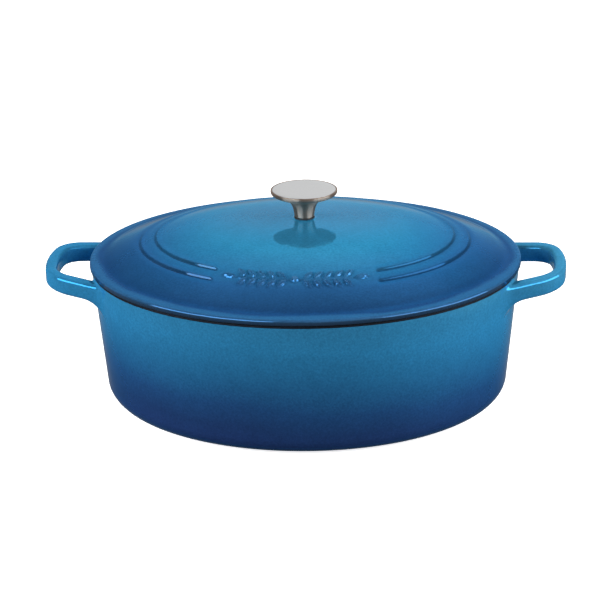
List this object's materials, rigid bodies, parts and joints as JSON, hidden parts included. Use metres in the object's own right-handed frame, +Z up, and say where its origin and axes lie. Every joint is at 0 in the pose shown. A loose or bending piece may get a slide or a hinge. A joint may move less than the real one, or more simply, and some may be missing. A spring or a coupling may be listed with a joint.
{
  "type": "cast iron dutch oven",
  "caption": "Oval enamelled cast iron casserole with integral loop handles and a lift-off domed lid with a stainless steel knob.",
  "frame": {"origin": "centre of the pot's underside, on the surface it stands on", "axes": "+Z up, +X along the oval's long axis towards a loop handle, -Y towards the front, where the lid's ring steps are interrupted"},
  "size_m": [0.3866, 0.2796, 0.1574],
  "materials": {
    "pot_enamel": "gloss enamel, bright blue at the rim running to dark navy at the base, cream inside, matt black on the rim",
    "lid_enamel": "gloss enamel, bright blue in the middle running to dark blue at the edge, cream underneath",
    "knob_polished_steel": "polished stainless steel",
    "knob_brushed_steel": "finely brushed stainless steel",
    "plated_steel": "plated steel",
    "black_silicone": "matt black"
  },
  "bodies": {
    "pot": {"pot": "pot_enamel"},
    "lid": {"lid": "lid_enamel", "knob_body": "knob_polished_steel", "knob_top_disc": "knob_brushed_steel", "knob_thread_insert": "plated_steel", "knob_gasket": "black_silicone", "knob_washer": "plated_steel", "knob_lock_washer": "plated_steel", "knob_screw": "plated_steel"}
  },
  "joints": [
    {"name": "lid_lift", "type": "slide", "parent": "pot", "child": "lid", "axis": [0, 0, 1], "range_m": [0, 0.15]}
  ]
}
